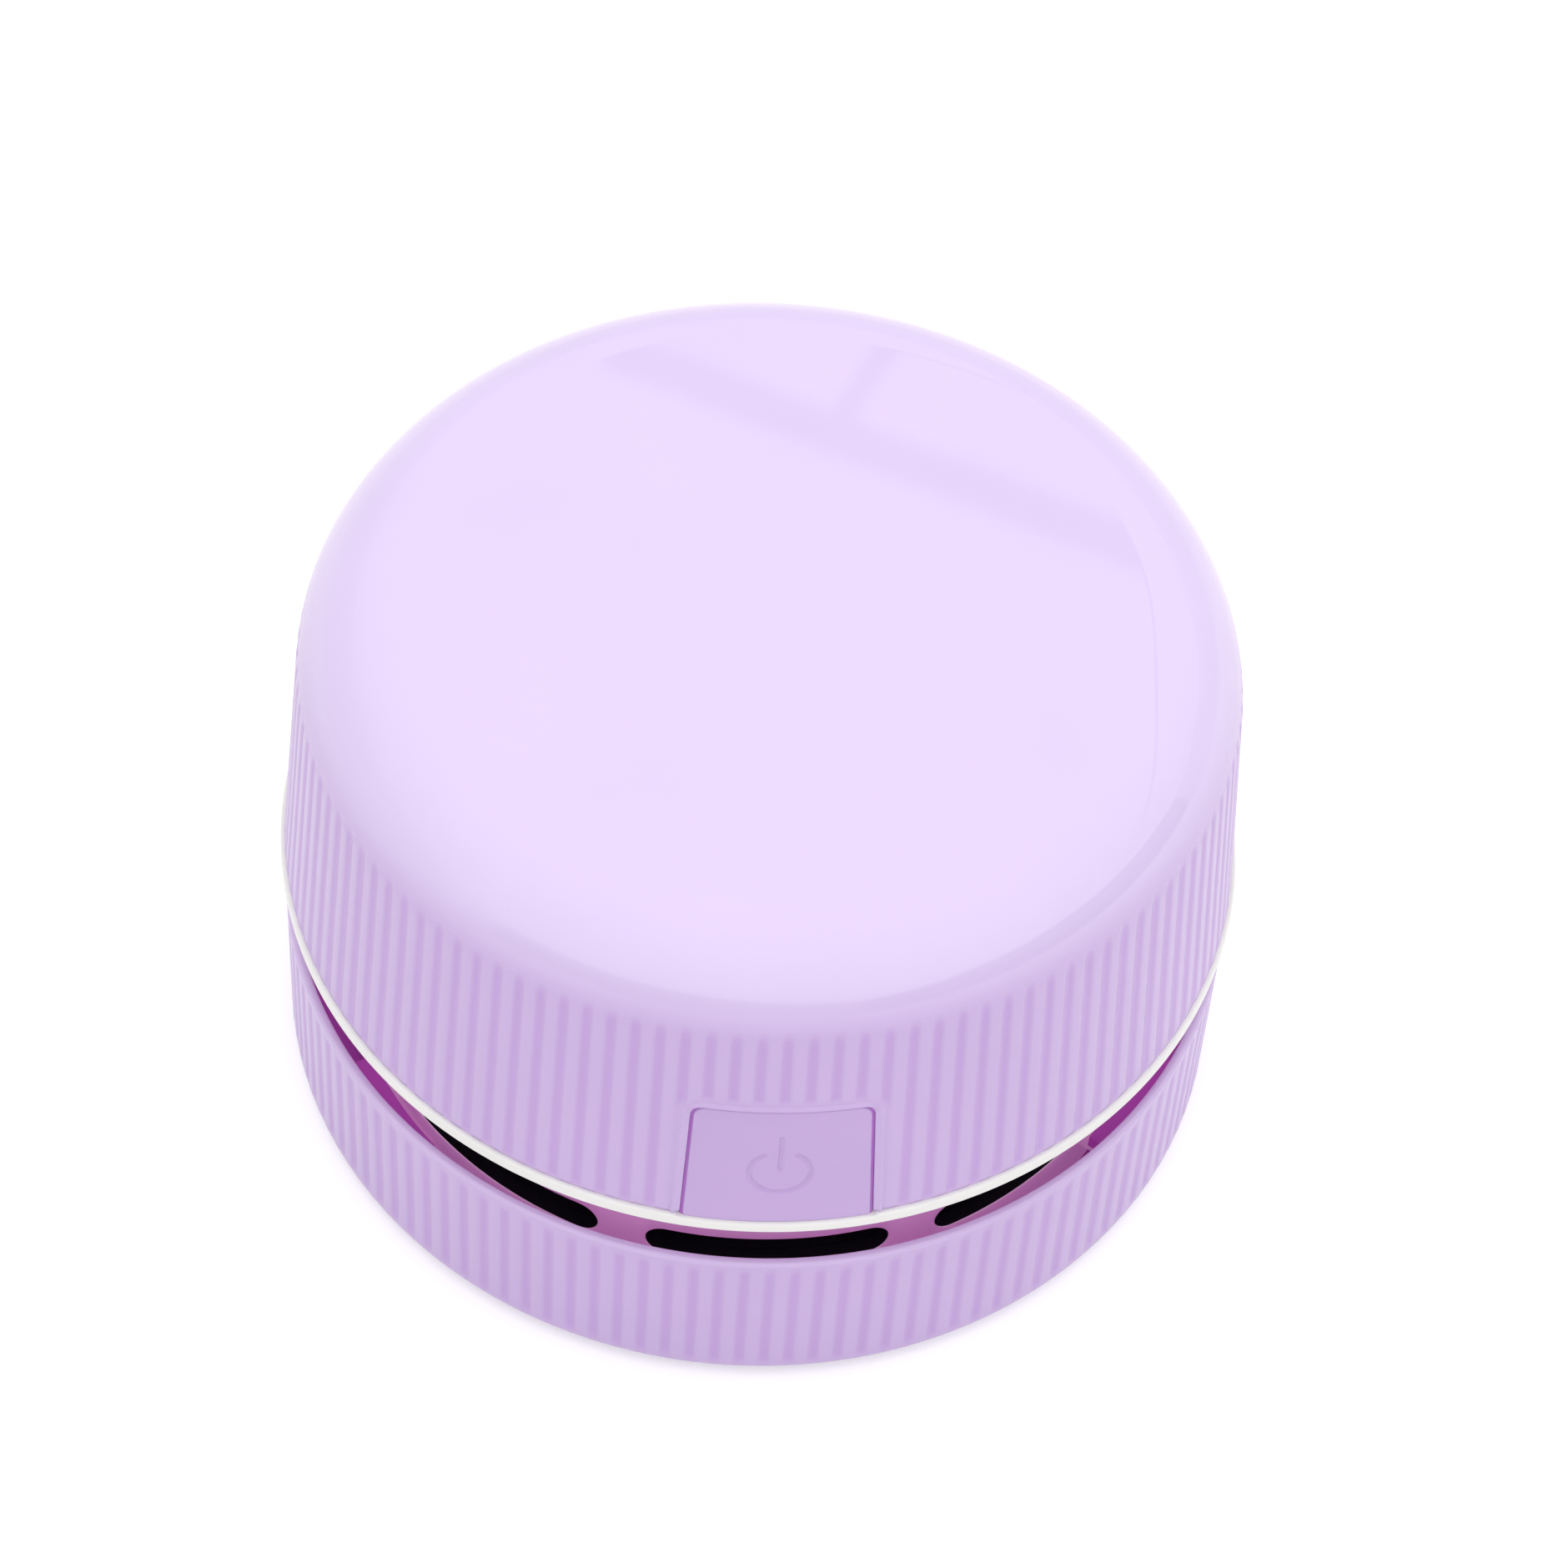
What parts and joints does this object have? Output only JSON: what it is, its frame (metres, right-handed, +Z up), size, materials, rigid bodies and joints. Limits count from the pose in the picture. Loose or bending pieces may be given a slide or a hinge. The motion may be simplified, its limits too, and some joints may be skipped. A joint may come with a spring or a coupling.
{
  "type": "desktop vacuum cleaner",
  "caption": "Round desktop vacuum cleaner: ribbed lift-off lid, front power button, recessed slotted air outlet and a ribbed twist-off dust box with a ring brush below.",
  "frame": {"origin": "centre of the footprint, on the surface that the glide pads stand on", "axes": "+Z up through the lid, -Y towards the power button, +X to the right seen from the button"},
  "size_m": [0.0886, 0.0886, 0.0566],
  "materials": {
    "lilac_shell": "glossy moulded lilac plastic, satin on the ribs",
    "lilac_button": "glossy moulded lilac plastic with a shallow power sign",
    "violet_collar": "deep violet moulded plastic",
    "white_plastic": "satin white moulded plastic",
    "black_plastic": "matt black moulded plastic",
    "grey_plastic": "satin grey moulded plastic",
    "motor_steel": "zinc-plated drawn steel",
    "screw_steel": "zinc-plated",
    "armature_steel": "stacked laminations",
    "magnet": "dark ferrite",
    "brass": "plain",
    "nickel": "nickel-plated strip",
    "cell_case": "plain metallic sleeve over the can, bare nub",
    "lead_red": "soft red insulation",
    "lead_black": "soft black insulation",
    "foam": "closed-cell foam",
    "seal": "soft grey seal",
    "glide": "slippery white pad",
    "bristle": "fine nylon bristles",
    "mesh": "fine woven nylon mesh"
  },
  "bodies": {
    "upper_unit": {"battery_deck": "white_plastic", "exhaust_collar": "violet_collar", "inlet_plate": "black_plastic", "plate_screws": "screw_steel", "deck_screws": "screw_steel", "motor_screws": "screw_steel", "motor_can": "motor_steel", "motor_bushing": "brass", "motor_pad": "foam", "motor_end_cap": "white_plastic", "motor_terminals": "brass", "motor_magnets": "magnet", "aa_cell_left": "cell_case", "aa_cell_right": "cell_case", "contact_positive": "nickel", "contact_negative": "nickel", "contact_bridge": "nickel", "contact_springs": "nickel", "lead_cell_to_switch": "lead_red", "lead_switch_to_motor": "lead_red", "lead_motor_to_cell": "lead_black", "switch_body": "black_plastic", "switch_pins": "brass"},
    "lid": {"top_cover": "lilac_shell"},
    "button": {"power_button": "lilac_button"},
    "plunger": {"switch_plunger": "white_plastic"},
    "rotor": {"fan_impeller": "grey_plastic", "motor_shaft": "motor_steel", "motor_armature": "armature_steel"},
    "dust_unit": {"dust_box": "lilac_shell", "glide_pads": "glide", "brush_ring": "black_plastic", "brush_tufts": "bristle", "dust_seal": "seal", "filter_frame": "white_plastic", "filter_mesh": "mesh"}
  },
  "joints": [
    {"name": "lid_lift", "type": "slide", "parent": "upper_unit", "child": "lid", "axis": [0, 0, 1], "range_m": [0, 0.03]},
    {"name": "button_press", "type": "slide", "parent": "upper_unit", "child": "button", "axis": [0, 1, 0], "range_m": [0, 0.0012], "stiffness_N_per_m": 300, "springref_m": -0.002},
    {"name": "plunger_press", "type": "slide", "parent": "upper_unit", "child": "plunger", "axis": [0, 1, 0], "range_m": [0, 0.0012]},
    {"name": "fan_spin", "type": "hinge", "parent": "upper_unit", "child": "rotor", "pos_m": [0, 0, 0.02], "axis": [0, 0, 1], "continuous": true},
    {"name": "dust_box_twist", "type": "hinge", "parent": "upper_unit", "child": "dust_unit", "pos_m": [0, 0, 0.01], "axis": [0, 0, 1], "range_deg": [0, 20]}
  ],
  "couplings": [
    {"joint": "plunger_press", "follows": "button_press", "ratio": 1}
  ]
}
